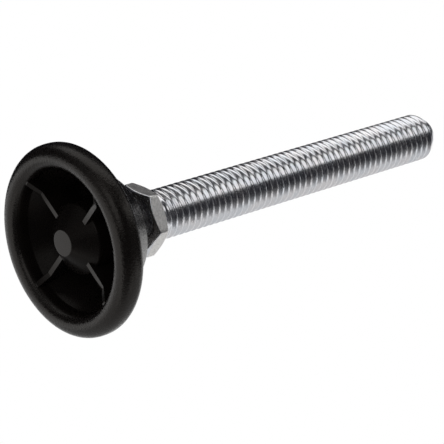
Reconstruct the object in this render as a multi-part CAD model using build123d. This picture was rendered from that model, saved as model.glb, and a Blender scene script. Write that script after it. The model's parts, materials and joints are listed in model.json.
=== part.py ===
from build123d import *
import os
from math import atan2, cos, radians, tan

# Articulated levelling foot. Millimetres, +Z up along the stud, origin on the floor under the middle.

# Moulded base
base_diameter = 29.5
base_height = 9.8
rim_height = 4.2
rim_width = 3.35
rim_step = 2.65
rim_lower_round = 2.0
rim_upper_round = 1.7
lip_chamfer = 0.5
body_top_diameter = 16.6
shoulder_chamfer = 0.5
wall = 1.7

# Boss under the ball socket
boss_tip_diameter = 4.0
boss_tip_height = 0.4
boss_slope = 37.0
boss_wall = 1.45

# Ribs of the underside, with their free edge above the floor and a gusset down to the lip
rib_count = 4
rib_start_angle = 45.0
rib_thickness = 0.9
rib_edge_height = 2.2
rib_gusset_length = 2.2
rib_gusset_drop = 1.4

# Ball joint
ball_diameter = 8.0
ball_height = 5.7
socket_clearance = 0.05
neck_diameter = 5.0
tilt_limit = 15.0
mouth_clearance = 0.3
mouth_chamfer = 0.3

# Hexagon collar and shank of the stud
hex_across_flats = 10.0
collar_gap = 4.25
hex_thickness = 2.6
hex_face_diameter = 9.4
hex_chamfer_angle = 30.0
hex_turn = -19.0
shank_diameter = 8.0
shank_length = 62.1
tip_chamfer_depth = 1.2
tip_chamfer_length = 1.8

# Sizes that follow from the ones above
base_radius = base_diameter / 2
opening_radius = base_radius - rim_width
body_foot_radius = base_radius - rim_step
body_top_radius = body_top_diameter / 2
ball_radius = ball_diameter / 2
neck_radius = neck_diameter / 2
socket_radius = ball_radius + socket_clearance
hub_radius = socket_radius + boss_wall
ceiling_height = base_height - wall
body_lean = atan2(body_foot_radius - body_top_radius, base_height - rim_height)
hex_underside_height = base_height + collar_gap
hex_top_height = hex_underside_height + hex_thickness
tip_height = hex_top_height + shank_length


def body_inside_radius(height):
    """Radius of the conical body's inner face, one wall inside its outer face."""
    outer = body_foot_radius - (height - rim_height) * tan(body_lean)
    return outer - wall / cos(body_lean)


def body_inside_height(radius):
    """Height at which the conical body's inner face has this radius."""
    return rim_height + (body_inside_radius(rim_height) - radius) / tan(body_lean)


def revolved(corners):
    """Solid of revolution about Z of a closed outline of (radius, height, rounding) corners."""
    points = [(radius, height) for radius, height, _ in corners]
    rounds = [rounding for _, _, rounding in corners]
    with BuildPart() as solid:
        with BuildSketch(Plane.XZ):
            with BuildLine():
                FilletPolyline(*points, radius=rounds, close=True)
            make_face()
        revolve(axis=Axis.Z)
    return solid.part


def base_shell():
    """Rim, conical body, top and boss, as one wall turned about the axis, with the socket still filled."""
    boss_foot_height = boss_tip_height + (hub_radius - boss_tip_diameter / 2) * tan(radians(boss_slope))
    shoulder_radius = body_top_radius + shoulder_chamfer * tan(body_lean)
    return revolved(
        [
            (0, boss_tip_height, 0),
            (boss_tip_diameter / 2, boss_tip_height, 0),
            (hub_radius, boss_foot_height, 0),
            (hub_radius, ceiling_height, 0),
            (body_inside_radius(ceiling_height), ceiling_height, 0),
            (opening_radius, body_inside_height(opening_radius), 0),
            (opening_radius, lip_chamfer, 0),
            (opening_radius + lip_chamfer, 0, 0),
            (base_radius, 0, rim_lower_round),
            (base_radius, rim_height, rim_upper_round),
            (body_foot_radius, rim_height, 0),
            (shoulder_radius, base_height - shoulder_chamfer, 0),
            (body_top_radius - shoulder_chamfer, base_height, 0),
            (0, base_height, 0),
        ]
    )


def rib():
    """Rib along +X from the axis into the wall, with its ends inside the solid wall around the cavity."""
    sunk = wall / 2
    with BuildPart() as plate:
        with BuildSketch(Plane.XZ):
            with BuildLine():
                Polyline(
                    (0, rib_edge_height),
                    (opening_radius - rib_gusset_length, rib_edge_height),
                    (opening_radius, rib_edge_height - rib_gusset_drop),
                    (opening_radius + sunk, rib_edge_height - rib_gusset_drop),
                    (opening_radius + sunk, body_inside_height(opening_radius)),
                    (body_inside_radius(ceiling_height) + sunk, ceiling_height),
                    (body_inside_radius(ceiling_height), ceiling_height + sunk),
                    (0, ceiling_height + sunk),
                    close=True,
                )
            make_face()
        extrude(amount=rib_thickness / 2, both=True)
    return plate.part


def socket():
    """Room for the ball, and the flared mouth that lets the neck lean to its limit."""
    lean = radians(tilt_limit)
    rise = base_height - ball_height
    low_radius = neck_radius / cos(lean) + mouth_clearance
    high_radius = low_radius + rise * tan(lean)
    chamfer_low_radius = high_radius - mouth_chamfer * tan(lean)
    ball_room = Pos(0, 0, ball_height) * Sphere(socket_radius)
    mouth = Pos(0, 0, ball_height) * Cone(
        low_radius, high_radius, rise, align=(Align.CENTER, Align.CENTER, Align.MIN)
    )
    edge_break = Pos(0, 0, base_height - mouth_chamfer) * Cone(
        chamfer_low_radius,
        chamfer_low_radius + mouth_chamfer,
        mouth_chamfer,
        align=(Align.CENTER, Align.CENTER, Align.MIN),
    )
    return ball_room + mouth + edge_break


def foot_base():
    """The moulded base: shell, ribs and ball socket."""
    ribs = [Rot(0, 0, rib_start_angle + 360 / rib_count * i) * rib() for i in range(rib_count)]
    return base_shell() + ribs - socket()


def hexagon_collar():
    """Hexagon with both faces chamfered, so that each flat ends in shallow arcs."""
    corner_radius = hex_across_flats / 2 / cos(radians(30))
    chamfer_depth = corner_radius - hex_face_diameter / 2
    chamfer_rise = chamfer_depth * tan(radians(hex_chamfer_angle))
    hexagon = RegularPolygon(hex_across_flats / 2, 6, major_radius=False, rotation=hex_turn)
    prism = extrude(hexagon, hex_thickness)
    blank = revolved(
        [
            (0, 0, 0),
            (hex_face_diameter / 2, 0, 0),
            (corner_radius, chamfer_rise, 0),
            (corner_radius, hex_thickness - chamfer_rise, 0),
            (hex_face_diameter / 2, hex_thickness, 0),
            (0, hex_thickness, 0),
        ]
    )
    return Pos(0, 0, hex_underside_height) * (prism & blank)


def neck():
    """Neck from the ball's middle up into the hexagon."""
    length = hex_underside_height + hex_thickness / 2 - ball_height
    return Pos(0, 0, ball_height) * Cylinder(neck_radius, length, align=(Align.CENTER, Align.CENTER, Align.MIN))


def shank():
    """Shank at the thread's outer diameter, from inside the hexagon to the chamfered tip."""
    shank_radius = shank_diameter / 2
    return revolved(
        [
            (0, hex_top_height - hex_thickness / 2, 0),
            (shank_radius, hex_top_height - hex_thickness / 2, 0),
            (shank_radius, tip_height - tip_chamfer_length, 0),
            (shank_radius - tip_chamfer_depth, tip_height, 0),
            (0, tip_height, 0),
        ]
    )


def threaded_stud():
    """The turned stud: ball, neck, hexagon collar and shank in one piece."""
    ball = Pos(0, 0, ball_height) * Sphere(ball_radius)
    return ball + neck() + hexagon_collar() + shank()


os.makedirs("parts", exist_ok=True)
export_step(foot_base(), "parts/foot_base.step")
export_step(threaded_stud(), "parts/threaded_stud.step")
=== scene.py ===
import json
from math import atan2, cos, pi, radians, sin, tan

import bmesh
import bpy
from mathutils import Matrix, Vector


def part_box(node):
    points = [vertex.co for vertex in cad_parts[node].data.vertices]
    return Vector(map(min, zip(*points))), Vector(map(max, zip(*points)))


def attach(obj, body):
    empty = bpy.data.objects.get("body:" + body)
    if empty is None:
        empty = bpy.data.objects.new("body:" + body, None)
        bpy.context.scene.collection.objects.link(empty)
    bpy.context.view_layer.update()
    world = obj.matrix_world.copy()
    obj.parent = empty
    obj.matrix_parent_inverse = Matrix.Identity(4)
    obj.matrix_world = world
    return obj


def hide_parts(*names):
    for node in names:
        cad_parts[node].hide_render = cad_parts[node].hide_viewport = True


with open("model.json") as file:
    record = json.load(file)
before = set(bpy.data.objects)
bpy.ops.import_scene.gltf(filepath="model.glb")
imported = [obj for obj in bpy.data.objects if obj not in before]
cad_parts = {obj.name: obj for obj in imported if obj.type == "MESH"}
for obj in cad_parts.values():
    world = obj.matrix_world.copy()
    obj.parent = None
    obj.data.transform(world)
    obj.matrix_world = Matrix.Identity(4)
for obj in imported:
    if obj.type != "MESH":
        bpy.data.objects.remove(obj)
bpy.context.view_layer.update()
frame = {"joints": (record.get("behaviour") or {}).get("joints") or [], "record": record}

MM = 0.001

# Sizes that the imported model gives
_, base_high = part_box("foot_base")
stud_low, stud_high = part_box("threaded_stud")
base_radius = base_high.x
base_height = base_high.z
tip_height = stud_high.z
ball_height = frame["joints"][0]["pos_m"][2]
ball_radius = ball_height - stud_low.z
shank_radius = frame["record"]["mounts"][0]["dims"]["r_mm"] * MM
tilt_limit = radians(frame["joints"][0]["range_deg"][1])

# Moulded base
rim_height = 4.2 * MM
rim_width = 3.67 * MM
rim_step = 2.65 * MM
rim_lower_round = 2.0 * MM
rim_upper_round = 1.7 * MM
lip_inner_round = 1.6 * MM
body_top_radius = 8.3 * MM
body_foot_round = 0.8 * MM
shoulder_round = 0.7 * MM
wall = 1.7 * MM
inside_round = 0.5 * MM
boss_tip_radius = 2.0 * MM
boss_tip_height = 0.4 * MM
boss_slope = radians(37)
boss_wall = 1.45 * MM
boss_round = 0.25 * MM
socket_clearance = 0.05 * MM
mouth_clearance = 0.3 * MM
mouth_round = 0.3 * MM
neck_radius = 2.5 * MM

# Ribs of the underside
rib_count = 4
rib_start_angle = radians(45)
rib_thickness = 0.9 * MM
rib_edge_height = 2.2 * MM
rib_edge_round = 0.14 * MM
rib_gusset_length = 2.2 * MM
rib_gusset_drop = 1.4 * MM

# Hexagon collar
collar_gap = 4.25 * MM
hex_sector = radians(60)
hex_across_flats = 10.0 * MM
hex_thickness = 2.6 * MM
hex_face_radius = 4.7 * MM
hex_chamfer_angle = radians(30)
hex_turn = radians(-19)
hex_edge_round = 0.1 * MM
hex_corner_cut = 0.0155 * MM
neck_root_round = 0.5 * MM

# Thread of the shank, M8 x 1.25, right-hand
thread_pitch = 1.25 * MM
thread_crest_play = 0.07 * MM
thread_depth = 0.52 * MM
thread_flank_angle = radians(41)
thread_crest_flat = 0.31 * MM
thread_crest_blend = 0.14 * MM
thread_root_blend = 0.18 * MM
thread_start_gap = 0.5 * MM
thread_run_in = 1.5 * MM
tip_chamfer_depth = 1.2 * MM
tip_chamfer_length = 1.8 * MM
tip_edge_round = 0.12 * MM

# Mesh steps, and the shares of a pitch at which half a thread has its rows
base_columns = 192
stud_columns = 84
collar_columns = stud_columns * 2
arc_steps = 8
seat_steps = 40
ball_steps = 36
chamfer_steps = 14
rib_edge_steps = 3
half_thread_rows = (0.05, 0.10, 0.15, 0.25, 0.33, 0.37, 0.41, 0.455)
spare_turns = 2
base_sharp_angle = radians(32)
stud_sharp_angle = radians(40)
rounding_error = 1e-9
level_tolerance = 1e-6
merge_distance = 2e-7

# Borders of the painted shade inside the base, where its inner walls take a duller copy of the nylon, and
# between the stud's thread and flats
top_margin = 0.1 * MM
cavity_margin = wall / 8
# Above this height the lip's inner roll takes the painted shade as well
lip_shade_height = lip_inner_round * 0.35
facing_down = -0.9
flat_lean = 0.3

# Materials: linear colours, features a metre, and ranges that noise values are spread from
nylon_colours = (0.0026, 0.0020, 0.0018), (0.0044, 0.0034, 0.0030)
nylon_gloss_tint = (1, 0.94, 0.88, 1)
nylon_tone_scale = 260
nylon_grain_scale = 3000
thread_tints = (0.89, 0.915, 0.96), (0.96, 0.945, 0.96)
flat_tints = (0.78, 0.77, 0.755), (1.0, 0.985, 0.965)
noise_range = (0.3, 0.7)
patch_range = (0.38, 0.62)

# Camera of the photograph
image_size = 444
focal_length_pixels = 2155.9
camera_target = Vector((3.72, -1.4, 30.7)) * MM
camera_distance = 335.4 * MM
camera_azimuth = radians(19.9)
camera_elevation = radians(-40)
camera_roll = radians(72.68)
camera_near = 0.01
camera_far = 20

# Softbox: metres to the photograph's right, up, and towards the camera
softbox_place = Vector((-0.095, 0.092, 0.36))
softbox_roll = radians(25)
softbox_size = (0.235, 0.225)
softbox_power = 0.145

# Dark cloths, in the softbox's directions
cloth_colour = (0.02, 0.02, 0.024, 1)
cloth_left, cloth_right = -0.50, 0.50
cloth_front, cloth_back = 0.45, -0.27
cloth_foot, cloth_top = 0.0, 0.40
near_left, near_foot = -0.40, -0.03
left_step_top, left_step_front, left_step_back = 0.56, -0.005, -0.025
right_foot, right_top, right_near_foot = -0.20, 0.20, -0.5
right_foot_step, right_slope = 0.12, 0.2
back_split, back_left_top, back_right_foot, back_right_top = -0.17, 0.58, 0.05, 1.2
table_height, table_reach = -1.6, 3
roof_scale = 0.36
roof_edge = (
    (cloth_left, -0.10),
    (-0.40, 0.06),
    (-0.30, 0.25),
    (-0.12, 0.31),
    (0.12, 0.24),
    (0.28, 0.0),
    (cloth_right, -0.25),
)

# Where the cloths thin out, and how far
low_fade = (-0.3, -2.8)
right_fade = (0.3, 0.5)
right_thinning = 0.05
left_fade = (-0.3, -0.5)
front_fade = (0.05, 0.3)
corner_thinning = 0.2

# Room and floor
room_light = 0.8
room_white = 1
floor_radius = 2.5
floor_segments = 96
floor_colour = (0.86, 0.86, 0.86, 1)
floor_roughness = 0.9
floor_fade = (0.1, 0.5)

# Sizes that follow from the ones above
opening_radius = base_radius - rim_width
body_foot_radius = base_radius - rim_step
body_lean = atan2(body_foot_radius - body_top_radius, base_height - rim_height)
ceiling_height = base_height - wall
socket_radius = ball_radius + socket_clearance
hub_radius = socket_radius + boss_wall
hex_bottom = base_height + collar_gap
hex_top = hex_bottom + hex_thickness
hex_corner_radius = hex_across_flats / 2 / cos(hex_sector / 2)
crest_radius = shank_radius - thread_crest_play


def body_inside_radius(height):
    """Radius of the conical body's inner face at this height."""
    outer = body_foot_radius - (height - rim_height) * tan(body_lean)
    return outer - wall / cos(body_lean)


def body_inside_height(radius):
    """Height at which the conical body's inner face has this radius."""
    return rim_height + (body_inside_radius(rim_height) - radius) / tan(body_lean)


def rounded_outline(corners):
    """Points of an outline of (radius, height, rounding) corners, with an arc at each rounded one."""
    outline = []
    for index, (radius, height, rounding) in enumerate(corners):
        here = Vector((radius, height))
        if rounding == 0:
            outline.append(here)
            continue
        before = (Vector(corners[index - 1][:2]) - here).normalized()
        after = (Vector(corners[index + 1][:2]) - here).normalized()
        half = before.angle(after) / 2
        centre = here + (before + after).normalized() * rounding / sin(half)
        first = here + before * rounding / tan(half) - centre
        last = here + after * rounding / tan(half) - centre
        start = atan2(first.y, first.x)
        turn = (atan2(last.y, last.x) - start + pi) % (2 * pi) - pi
        for step in range(arc_steps + 1):
            angle = start + turn * step / arc_steps
            outline.append(centre + rounding * Vector((cos(angle), sin(angle))))
    return outline


def arc(centre_height, radius, first, last, steps):
    """Points of an arc about the axis point at this height, by angle from the axis's lower end."""
    angles = [first + (last - first) * step / steps for step in range(steps + 1)]
    return [Vector((radius * sin(angle), centre_height - radius * cos(angle))) for angle in angles]


def add_ring(mesh, columns, place):
    """Ring of vertices, or one vertex on the axis, from place(angle) giving (radius, height)."""
    if place(0)[0] < rounding_error:
        return [mesh.verts.new((0, 0, place(0)[1]))]
    ring = []
    for column in range(columns):
        angle = 2 * pi * column / columns
        radius, height = place(angle)
        ring.append(mesh.verts.new((radius * cos(angle), radius * sin(angle), height)))
    return ring


def join_rings(mesh, low, high):
    """Faces between two rings of equally many vertices, or between a ring and a vertex on the axis."""
    count = max(len(low), len(high))
    for column in range(count):
        after = (column + 1) % count
        below = [low[column % len(low)], low[after % len(low)]]
        above = [high[after % len(high)], high[column % len(high)]]
        mesh.faces.new(list(dict.fromkeys(below + above)))


def lathe(mesh, outline, columns):
    """Surface of revolution of an outline about Z. Returns its rings."""
    rings = [add_ring(mesh, columns, lambda angle, point=point: tuple(point)) for point in outline]
    for low, high in zip(rings, rings[1:]):
        join_rings(mesh, low, high)
    return rings


def new_object(name, mesh):
    """Object from a bmesh, with outward normals."""
    bmesh.ops.recalc_face_normals(mesh, faces=mesh.faces)
    data = bpy.data.meshes.new(name)
    mesh.to_mesh(data)
    mesh.free()
    piece = bpy.data.objects.new(name, data)
    bpy.context.scene.collection.objects.link(piece)
    return piece


def shade_by_angle(piece, limit):
    """Smooth shading, with sharp edges where faces meet at more than this angle."""
    mesh = bmesh.new()
    mesh.from_mesh(piece.data)
    for face in mesh.faces:
        face.smooth = True
    for edge in mesh.edges:
        edge.smooth = edge.calc_face_angle(0) < limit
    mesh.to_mesh(piece.data)
    mesh.free()


# Base


def mouth_meeting_angle(mouth_low):
    """Angle from the axis's upper end at which the flared mouth leaves the ball's seat."""
    slope = tan(tilt_limit)
    a = 1 + slope**2
    b = mouth_low * slope
    c = mouth_low**2 - socket_radius**2
    height = (-b + (b**2 - a * c) ** 0.5) / a
    return atan2(mouth_low + height * slope, height)


def base_shell():
    """Rim, body, top, socket and boss as one closed turned surface."""
    boss_foot_height = boss_tip_height + (hub_radius - boss_tip_radius) * tan(boss_slope)
    rise = base_height - ball_height
    mouth_low = neck_radius / cos(tilt_limit) + mouth_clearance
    mouth_high = mouth_low + rise * tan(tilt_limit)
    mouth_angle = pi - mouth_meeting_angle(mouth_low)
    seat = arc(ball_height, socket_radius, mouth_angle, 0, seat_steps)
    corners = [
        (0, boss_tip_height, 0),
        (boss_tip_radius, boss_tip_height, boss_round),
        (hub_radius, boss_foot_height, inside_round),
        (hub_radius, ceiling_height, inside_round),
        (body_inside_radius(ceiling_height), ceiling_height, inside_round),
        (opening_radius, body_inside_height(opening_radius), inside_round),
        (opening_radius, 0, lip_inner_round),
        (base_radius, 0, rim_lower_round),
        (base_radius, rim_height, rim_upper_round),
        (body_foot_radius, rim_height, body_foot_round),
        (body_top_radius, base_height, shoulder_round),
        (mouth_high, base_height, mouth_round),
        (seat[0].x, seat[0].y, 0),
    ]
    mesh = bmesh.new()
    lathe(mesh, rounded_outline(corners) + seat[1:], base_columns)
    return new_object("moulded_base", mesh)


def rib_side():
    """Side view of a rib along +X, with its ends sunk in the hub and in the wall."""
    sunk = wall / 2
    inner = socket_radius + boss_wall / 8
    return [
        (inner, rib_edge_height),
        (opening_radius - rib_gusset_length, rib_edge_height),
        (opening_radius, rib_edge_height - rib_gusset_drop),
        (opening_radius + sunk, rib_edge_height - rib_gusset_drop),
        (opening_radius + sunk, body_inside_height(opening_radius)),
        (body_inside_radius(ceiling_height) + sunk, ceiling_height),
        (body_inside_radius(ceiling_height), ceiling_height + sunk),
        (inner, ceiling_height + sunk),
    ]


def on_free_edge(edge):
    """Whether an edge of a rib runs along its free edge, on either side."""
    first, second = edge.verts
    highest = max(first.co.z, second.co.z)
    return highest <= rib_edge_height + rounding_error and first.co.y == second.co.y


def rib(turn):
    """One rib with a rounded free edge."""
    side = rib_side()
    mesh = bmesh.new()
    near = [mesh.verts.new((x, -rib_thickness / 2, z)) for x, z in side]
    far = [mesh.verts.new((x, rib_thickness / 2, z)) for x, z in side]
    mesh.faces.new(near)
    mesh.faces.new(far[::-1])
    for index in range(len(side)):
        before = index - 1
        mesh.faces.new((near[before], far[before], far[index], near[index]))
    free = [edge for edge in mesh.edges if on_free_edge(edge)]
    bmesh.ops.bevel(
        mesh, geom=free, offset=rib_edge_round, segments=rib_edge_steps, profile=0.5, affect="EDGES"
    )
    piece = new_object("rib", mesh)
    piece.matrix_world = Matrix.Rotation(turn, 4, "Z")
    return piece


def moulded_base():
    """The base: shell with its ribs joined on."""
    shell = base_shell()
    ribs = [rib(rib_start_angle + 2 * pi * index / rib_count) for index in range(rib_count)]
    for piece in ribs:
        union = shell.modifiers.new("rib", "BOOLEAN")
        union.operation = "UNION"
        union.solver = "EXACT"
        union.object = piece
    graph = bpy.context.evaluated_depsgraph_get()
    joined = bpy.data.meshes.new_from_object(shell.evaluated_get(graph))
    shell.modifiers.clear()
    shell.data = joined
    for piece in ribs:
        bpy.data.objects.remove(piece)
    shade_by_angle(shell, base_sharp_angle)
    return shell


# Stud


def soft_min(a, b, reach):
    """The smaller of two lengths, blended where they differ by less than reach."""
    overlap = max(reach - abs(a - b), 0) / reach
    return min(a, b) - overlap**2 * reach / 4


def hex_radius(angle):
    """Distance from the axis to the hexagon's flats in this direction, with its corners cut a little."""
    turned = (angle - hex_turn + hex_sector / 2) % hex_sector - hex_sector / 2
    flat = hex_across_flats / 2 / cos(hex_sector / 2 - abs(turned))
    return min(flat, hex_corner_radius - hex_corner_cut)


def collar_outline():
    """Half section of the collar's turned blank, from its lower face to its upper face."""
    reach = hex_corner_radius - hex_face_radius
    rise = reach * tan(hex_chamfer_angle)
    outline = [(hex_face_radius, hex_bottom)]
    for step in range(1, chamfer_steps + 1):
        share = step / chamfer_steps
        outline.append((hex_face_radius + reach * share, hex_bottom + rise * share))
    for step in range(chamfer_steps + 1):
        share = 1 - step / chamfer_steps
        outline.append((hex_face_radius + reach * share, hex_top - rise * share))
    return outline


def collar_ring(mesh, radius, height):
    """Ring of the collar: a circle of this radius, cut by the hexagon's flats."""

    def place(angle):
        return soft_min(radius, hex_radius(angle), hex_edge_round), height

    return add_ring(mesh, collar_columns, place)


def thread_radius(height, share):
    """Radius of the shank at this height, where share counts pitches from the middle of a root."""
    distance = abs(share - round(share)) * thread_pitch
    flank = (thread_pitch - thread_crest_flat) / 2 - distance
    cut = soft_min(flank / tan(thread_flank_angle), thread_depth, thread_root_blend)
    cut = -soft_min(-cut, 0, thread_crest_blend)
    run_in = min(max((height - hex_top - thread_start_gap) / thread_run_in, 0), 1)
    chamfer = (height - tip_height + tip_chamfer_length) * tip_chamfer_depth / tip_chamfer_length
    return soft_min(crest_radius - cut * run_in, shank_radius - chamfer, tip_edge_round)


def thread_row(mesh, share):
    """One turn of vertices along the helix that lies this many pitches above the first one."""
    start = hex_top - spare_turns * thread_pitch
    row = []
    for column in range(stud_columns):
        angle = 2 * pi * column / stud_columns
        height = start + (share + column / stud_columns) * thread_pitch
        radius = thread_radius(height, share)
        row.append(mesh.verts.new((radius * cos(angle), radius * sin(angle), height)))
    return row


def add_thread(mesh):
    """Helical grid of the thread, cut level at the collar and at the tip."""
    shares = [0, *half_thread_rows, 0.5, *(1 - share for share in reversed(half_thread_rows))]
    turns = int((tip_height - hex_top) / thread_pitch) + 2 * spare_turns
    rows = [thread_row(mesh, turn + share) for turn in range(turns) for share in shares]
    for index, (low, high) in enumerate(zip(rows, rows[1:])):
        for column in range(stud_columns - 1):
            mesh.faces.new((low[column], low[column + 1], high[column + 1], high[column]))
        wrap = index + len(shares)
        if wrap + 1 < len(rows):
            mesh.faces.new((low[-1], rows[wrap][0], rows[wrap + 1][0], high[-1]))
    for height, outward in ((hex_top, (0, 0, -1)), (tip_height, (0, 0, 1))):
        geometry = mesh.verts[:] + mesh.edges[:] + mesh.faces[:]
        bmesh.ops.bisect_plane(
            mesh, geom=geometry, plane_co=(0, 0, height), plane_no=outward, clear_outer=True
        )
    bmesh.ops.remove_doubles(mesh, verts=mesh.verts, dist=merge_distance)


def around_axis(vert):
    """Angle of a vertex about the axis."""
    return atan2(vert.co.y, vert.co.x)


def open_loop(mesh, height):
    """Vertices of the open edge at this height, in order round the axis."""
    edges = [edge for edge in mesh.edges if edge.is_boundary]
    found = {vert for edge in edges for vert in edge.verts if abs(vert.co.z - height) < level_tolerance}
    return sorted(found, key=around_axis)


def zip_loops(mesh, low, high):
    """Triangles between two loops of any number of vertices, with the upper one in order round the axis."""
    low = sorted(low, key=around_axis)
    a = b = 0
    while a < len(low) or b < len(high):
        next_a = (a + 1) / len(low)
        next_b = (b + 1) / len(high)
        here, there = low[a % len(low)], high[b % len(high)]
        if b == len(high) or (a < len(low) and next_a <= next_b):
            mesh.faces.new((here, low[(a + 1) % len(low)], there))
            a += 1
        else:
            mesh.faces.new((here, high[(b + 1) % len(high)], there))
            b += 1


def ball_and_neck():
    """Half section of the ball and neck, up to the hexagon's lower face."""
    neck_angle = pi - atan2(neck_radius, (ball_radius**2 - neck_radius**2) ** 0.5)
    ball = arc(ball_height, ball_radius, 0, neck_angle, ball_steps)
    neck = rounded_outline(
        [
            (neck_radius, ball[-1].y, 0),
            (neck_radius, hex_bottom, neck_root_round),
            (neck_radius + neck_root_round * 2, hex_bottom, 0),
        ]
    )
    return ball + neck[1:-1]


def threaded_stud():
    """Ball, neck, hexagon collar and thread as one closed surface."""
    mesh = bmesh.new()
    add_thread(mesh)
    foot = open_loop(mesh, hex_top)
    tip = open_loop(mesh, tip_height)
    below = lathe(mesh, ball_and_neck(), collar_columns)[-1]
    for radius, height in collar_outline():
        ring = collar_ring(mesh, radius, height)
        join_rings(mesh, below, ring)
        below = ring
    zip_loops(mesh, below, foot)
    middle = mesh.verts.new((0, 0, tip_height))
    for index, vert in enumerate(tip):
        mesh.faces.new((tip[index - 1], vert, middle))
    piece = new_object("threaded_stud_visual", mesh)
    shade_by_angle(piece, stud_sharp_angle)
    return piece


# Materials


def new_material(name):
    """Node material with its shader and object coordinates."""
    material = bpy.data.materials.new(name)
    material.use_nodes = True
    nodes = material.node_tree.nodes
    shader = nodes["Principled BSDF"]
    coordinates = nodes.new("ShaderNodeTexCoord")
    return material, shader, coordinates.outputs["Object"]


def add_node(owner, kind, inputs, **settings):
    """Node in a material or world, with its settings and with values or links on its inputs."""
    tree = owner.node_tree
    node = tree.nodes.new(kind)
    for key, value in settings.items():
        setattr(node, key, value)
    for key, value in inputs.items():
        if isinstance(value, bpy.types.NodeSocket):
            tree.links.new(value, node.inputs[key])
        else:
            node.inputs[key].default_value = value
    return node


def noise(material, coordinates, scale, detail):
    """Noise of this many features a metre."""
    inputs = {"Vector": coordinates, "Scale": scale, "Detail": detail, "Roughness": 0.5}
    return add_node(material, "ShaderNodeTexNoise", inputs).outputs["Fac"]


def spread(owner, value, low, high, source=noise_range):
    """The value spread from the source range to low..high."""
    inputs = {"Value": value, "From Min": source[0], "From Max": source[1], "To Min": low, "To Max": high}
    return add_node(owner, "ShaderNodeMapRange", inputs).outputs["Result"]


def larger(owner, first, second):
    """The larger of two values."""
    return add_node(owner, "ShaderNodeMath", {0: first, 1: second}, operation="MAXIMUM").outputs["Value"]


def smaller(owner, first, second):
    """The smaller of two values."""
    return add_node(owner, "ShaderNodeMath", {0: first, 1: second}, operation="MINIMUM").outputs["Value"]


def blend_colours(material, factor, first, second):
    """Colour between two others."""
    node = add_node(material, "ShaderNodeMix", {"Factor": factor}, data_type="RGBA")
    colours = [socket for socket in node.inputs if socket.type == "RGBA"]
    for socket, colour in zip(colours, (first, second)):
        socket.default_value = (*colour, 1)
    return next(socket for socket in node.outputs if socket.type == "RGBA")


def blend_shaders(material, factor, first, second):
    """Shader between two others."""
    return add_node(material, "ShaderNodeMixShader", {0: factor, 1: first, 2: second}).outputs["Shader"]


def show(material, surface):
    """Makes this shader the material's surface."""
    output = material.node_tree.nodes["Material Output"]
    material.node_tree.links.new(surface, output.inputs["Surface"])


def add_grain(material, shader, grain, roughness, depth):
    """Roughness between two values and a bump of this depth, both from one grain."""
    links = material.node_tree.links
    links.new(spread(material, grain, *roughness), shader.inputs["Roughness"])
    bump = add_node(material, "ShaderNodeBump", {"Height": grain, "Distance": depth, "Strength": 1})
    links.new(bump.outputs["Normal"], shader.inputs["Normal"])


def black_plastic(name, shine, roughness, grain_depth):
    """Black nylon with the fine grain of an eroded mould."""
    material, shader, coordinates = new_material(name)
    shader.inputs["Specular IOR Level"].default_value = shine
    shader.inputs["Specular Tint"].default_value = nylon_gloss_tint
    tone = noise(material, coordinates, nylon_tone_scale, detail=4)
    colour = blend_colours(material, spread(material, tone, 0, 1), *nylon_colours)
    material.node_tree.links.new(colour, shader.inputs["Base Color"])
    grain = noise(material, coordinates, nylon_grain_scale, detail=3)
    add_grain(material, shader, grain, roughness, grain_depth)
    return material


def base_painted_shade_slot(face):
    """Material slot of a face of the base: 0 outside and on the lip, 1 on boss and rib edges, 2 on inner
    walls, whose duller nylon is painted shade of the deep cavity.
    """
    height = face.center.z
    radius = face.center.xy.length
    on_top = height > ceiling_height + top_margin
    outside = radius > min(opening_radius, body_inside_radius(height)) + cavity_margin
    on_lip = height < lip_shade_height < radius - hub_radius
    if on_top or outside or on_lip:
        return 0
    if face.normal.z < facing_down:
        return 1
    return 2


def zinc_plating(name, roughness, tints, tint_scale, grain_scale, grain_depth):
    """Bright zinc plating: metal with faint patches of two tints and a fine grain."""
    material, shader, coordinates = new_material(name)
    shader.inputs["Metallic"].default_value = 1
    patches = noise(material, coordinates, tint_scale, detail=4)
    colour = blend_colours(material, spread(material, patches, 0, 1, patch_range), *tints)
    material.node_tree.links.new(colour, shader.inputs["Base Color"])
    stretched = add_node(material, "ShaderNodeMapping", {"Vector": coordinates, "Scale": grain_scale})
    grain = noise(material, stretched.outputs["Vector"], 1, detail=3)
    add_grain(material, shader, grain, roughness, grain_depth)
    return material


def on_hex_flat(face):
    """Whether a face of the stud is on one of the hexagon's flats."""
    return hex_bottom < face.center.z < hex_top and abs(face.normal.z) < flat_lean


# Studio


def camera_axes():
    """Right, up and forward of the photograph's camera."""
    level = cos(camera_elevation)
    forward = Vector((sin(camera_azimuth) * level, cos(camera_azimuth) * level, -sin(camera_elevation)))
    level_right = forward.cross(Vector((0, 0, 1))).normalized()
    level_up = level_right.cross(forward)
    right = level_right * cos(camera_roll) + level_up * sin(camera_roll)
    return right, right.cross(forward), forward


def camera_matrix(origin):
    """Frame at this point whose axes are the photograph's right, up and towards the camera."""
    right, up, forward = camera_axes()
    return Matrix.Translation(origin) @ Matrix((right, up, -forward)).transposed().to_4x4()


def add_camera():
    """Camera of the photograph."""
    data = bpy.data.cameras.new("camera")
    data.lens = data.sensor_width * focal_length_pixels / image_size
    data.clip_start = camera_near
    data.clip_end = camera_far
    camera = bpy.data.objects.new("camera", data)
    camera.matrix_world = camera_matrix(camera_target - camera_axes()[2] * camera_distance)
    bpy.context.scene.collection.objects.link(camera)
    bpy.context.scene.camera = camera


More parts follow.
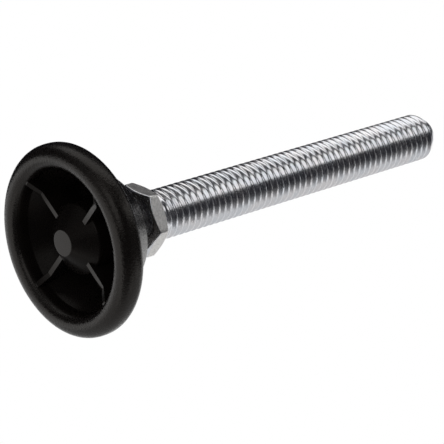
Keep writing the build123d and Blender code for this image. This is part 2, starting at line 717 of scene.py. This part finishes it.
def add_softbox():
    """Area light in front of the foot, turned towards it."""
    data = bpy.data.lights.new("front_box", "AREA")
    data.shape = "RECTANGLE"
    data.size, data.size_y = softbox_size
    data.energy = softbox_power
    light = bpy.data.objects.new("front_box", data)
    light.visible_camera = False
    away = softbox_place.normalized()
    across = Vector((0, 1, 0)).cross(away).normalized()
    facing = Matrix((across, away.cross(across), away)).transposed().to_4x4()
    turn = facing @ Matrix.Rotation(softbox_roll, 4, "Z")
    light.matrix_world = camera_matrix(camera_target) @ Matrix.Translation(softbox_place) @ turn
    bpy.context.scene.collection.objects.link(light)


def front_sheet(left, right, foot, top, depth):
    """Corners of an upright cloth that faces along the camera's view."""
    return [(left, foot, depth), (right, foot, depth), (right, top, depth), (left, top, depth)]


def side_sheet(side, profile):
    """Corners of an upright cloth at one side, from (height, depth) points."""
    return [(side, height, depth) for height, depth in profile]


def level_sheet(height, profile):
    """Corners of a level cloth, from (side, depth) points."""
    return [(side, height, depth) for side, depth in profile]


def tent_sheets():
    """Corners of the cloths in front, at the sides, behind, below and overhead."""
    left_profile = [
        (cloth_foot, cloth_back),
        (cloth_foot, cloth_front),
        (cloth_top, cloth_front),
        (cloth_top, left_step_front),
        (left_step_top, left_step_back),
        (left_step_top, cloth_back),
    ]
    right_profile = [
        (right_foot, cloth_back),
        (right_foot, right_foot_step),
        (right_near_foot, right_slope),
        (right_near_foot, cloth_front),
        (cloth_top, cloth_front),
        (right_top, right_slope),
        (right_top, cloth_back),
    ]
    table_profile = [
        (-table_reach, -table_reach),
        (table_reach, -table_reach),
        (table_reach, cloth_front),
        (-table_reach, cloth_front),
    ]
    roof = level_sheet(cloth_top, [*roof_edge, (cloth_right, cloth_front), (cloth_left, cloth_front)])
    return [
        front_sheet(cloth_left, cloth_right, near_foot, cloth_top, cloth_front),
        front_sheet(near_left, cloth_right, table_height, near_foot, cloth_front),
        side_sheet(cloth_left, left_profile),
        side_sheet(cloth_right, right_profile),
        front_sheet(cloth_left, back_split, cloth_foot, back_left_top, cloth_back),
        front_sheet(back_split, cloth_right, back_right_foot, back_right_top, cloth_back),
        level_sheet(table_height, table_profile),
        [tuple(value * roof_scale for value in corner) for corner in roof],
    ]


def dark_cloth():
    """Black cloth that thins out far below, at the right and in the front left corner."""
    material, shader, coordinates = new_material("dark_cloth")
    shader.inputs["Base Color"].default_value = cloth_colour
    shader.inputs["Roughness"].default_value = 1
    shader.inputs["Specular IOR Level"].default_value = 0
    place = add_node(material, "ShaderNodeSeparateXYZ", {"Vector": coordinates}).outputs
    low = spread(material, place["Y"], 0, 1, low_fade)
    beside = spread(material, place["X"], 0, right_thinning, right_fade)
    leftward = spread(material, place["X"], 0, corner_thinning, left_fade)
    forward = spread(material, place["Z"], 0, corner_thinning, front_fade)
    sides = larger(material, beside, smaller(material, leftward, forward))
    clear = add_node(material, "ShaderNodeBsdfTransparent", {}).outputs["BSDF"]
    show(material, blend_shaders(material, larger(material, low, sides), shader.outputs["BSDF"], clear))
    return material


def add_tent():
    """Dark cloths around the foot, which only reflections see."""
    mesh = bmesh.new()
    for corners in tent_sheets():
        mesh.faces.new([mesh.verts.new(corner) for corner in corners])
    tent = new_object("dark_tent", mesh)
    tent.matrix_world = camera_matrix(camera_target)
    tent.data.materials.append(dark_cloth())
    tent.visible_camera = False
    tent.visible_diffuse = False
    tent.visible_shadow = False


def add_world():
    """White room: full white to the camera and in reflections, and softer as light on matt surfaces."""
    world = bpy.data.worlds.new("studio")
    bpy.context.scene.world = world
    world.use_nodes = True
    rays = add_node(world, "ShaderNodeLightPath", {}).outputs
    seen = larger(world, rays["Is Camera Ray"], rays["Is Glossy Ray"])
    seen = larger(world, seen, rays["Is Transmission Ray"])
    background = world.node_tree.nodes["Background"]
    background.inputs["Color"].default_value = (1, 1, 1, 1)
    strength = spread(world, seen, room_light, room_white, (0, 1))
    world.node_tree.links.new(strength, background.inputs["Strength"])


def pale_floor():
    """Pale matt floor that fades to white away from the foot and is clear from below."""
    material, shader, coordinates = new_material("pale_floor")
    shader.inputs["Base Color"].default_value = floor_colour
    shader.inputs["Roughness"].default_value = floor_roughness
    distance = add_node(material, "ShaderNodeVectorMath", {0: coordinates}, operation="LENGTH")
    far = spread(material, distance.outputs["Value"], 0, 1, floor_fade)
    white = add_node(material, "ShaderNodeEmission", {}).outputs["Emission"]
    above = blend_shaders(material, far, shader.outputs["BSDF"], white)
    from_below = add_node(material, "ShaderNodeNewGeometry", {}).outputs["Backfacing"]
    clear = add_node(material, "ShaderNodeBsdfTransparent", {}).outputs["BSDF"]
    show(material, blend_shaders(material, from_below, above, clear))
    return material


def add_floor():
    """Floor under the standing foot, seen from above only."""
    mesh = bmesh.new()
    bmesh.ops.create_circle(mesh, cap_ends=True, segments=floor_segments, radius=floor_radius)
    floor = new_object("floor", mesh)
    floor.data.materials.append(pale_floor())
    floor.visible_diffuse = False
    floor.visible_glossy = False
    floor.visible_transmission = False
    floor.visible_shadow = False


base = moulded_base()
base.data.materials.clear()
base.data.materials.append(
    black_plastic("black_nylon", shine=0.34, roughness=(0.20, 0.36), grain_depth=0.045 * MM)
)
base.data.materials.append(
    black_plastic("black_nylon_boss", shine=0.33, roughness=(0.18, 0.28), grain_depth=0.006 * MM)
)
# Same nylon with a much lower shine on the inner walls and upper lip roll: painted shade of the deep cavity
base.data.materials.append(
    black_plastic("black_nylon_painted_shade", shine=0.12, roughness=(0.24, 0.36), grain_depth=0.01 * MM)
)
for face in base.data.polygons:
    face.material_index = base_painted_shade_slot(face)
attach(base, "base")
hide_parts("foot_base")

stud = threaded_stud()
stud.data.materials.append(
    zinc_plating(
        "zinc_thread",
        roughness=(0.15, 0.28),
        tints=thread_tints,
        tint_scale=320,
        grain_scale=(900, 900, 6000),
        grain_depth=0.018 * MM,
    )
)
stud.data.materials.append(
    zinc_plating(
        "zinc_flats",
        roughness=(0.34, 0.46),
        tints=flat_tints,
        tint_scale=3200,
        grain_scale=(4200, 4200, 4200),
        grain_depth=0.05 * MM,
    )
)
for face in stud.data.polygons:
    if on_hex_flat(face):
        face.material_index = 1
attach(stud, "stud")
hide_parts("threaded_stud")

add_camera()
add_world()
add_floor()
add_softbox()
add_tent()
bpy.context.scene.view_settings.view_transform = "Standard"
